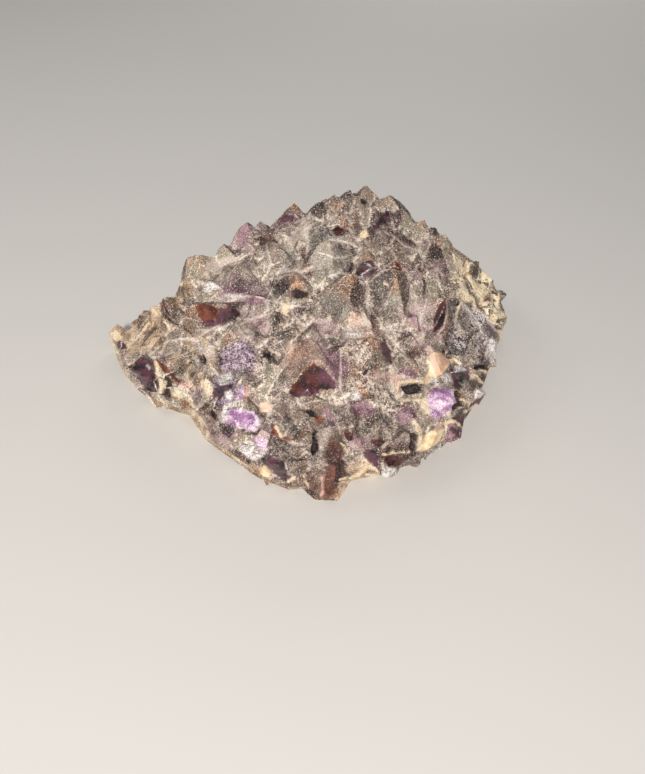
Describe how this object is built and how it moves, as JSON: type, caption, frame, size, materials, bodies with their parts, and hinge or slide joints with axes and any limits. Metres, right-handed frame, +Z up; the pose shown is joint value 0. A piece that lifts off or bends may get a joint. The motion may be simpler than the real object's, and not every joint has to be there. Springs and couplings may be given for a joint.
{
  "type": "amethyst crystal chunk",
  "caption": "Low dome of amethyst crystals grown together on pale broken matrix, with blunt pyramid points, a drawn-out end and a flat broken underside that it rests on.",
  "frame": {"origin": "on the resting plane, under the middle of the chunk's bounding box", "axes": "+X to the right along the chunk, away from its drawn-out end; +Y to the back, away from the viewer; +Z up, from the flat underside to the crystal points"},
  "size_m": [0.184, 0.1584, 0.066],
  "materials": {
    "amethyst": "frosty grey-mauve grain over most crystal faces, glossy purple to dark red where a face is clean, dull cream where the matrix is broken"
  },
  "bodies": {
    "root": {"amethyst_chunk": "amethyst"}
  },
  "joints": []
}
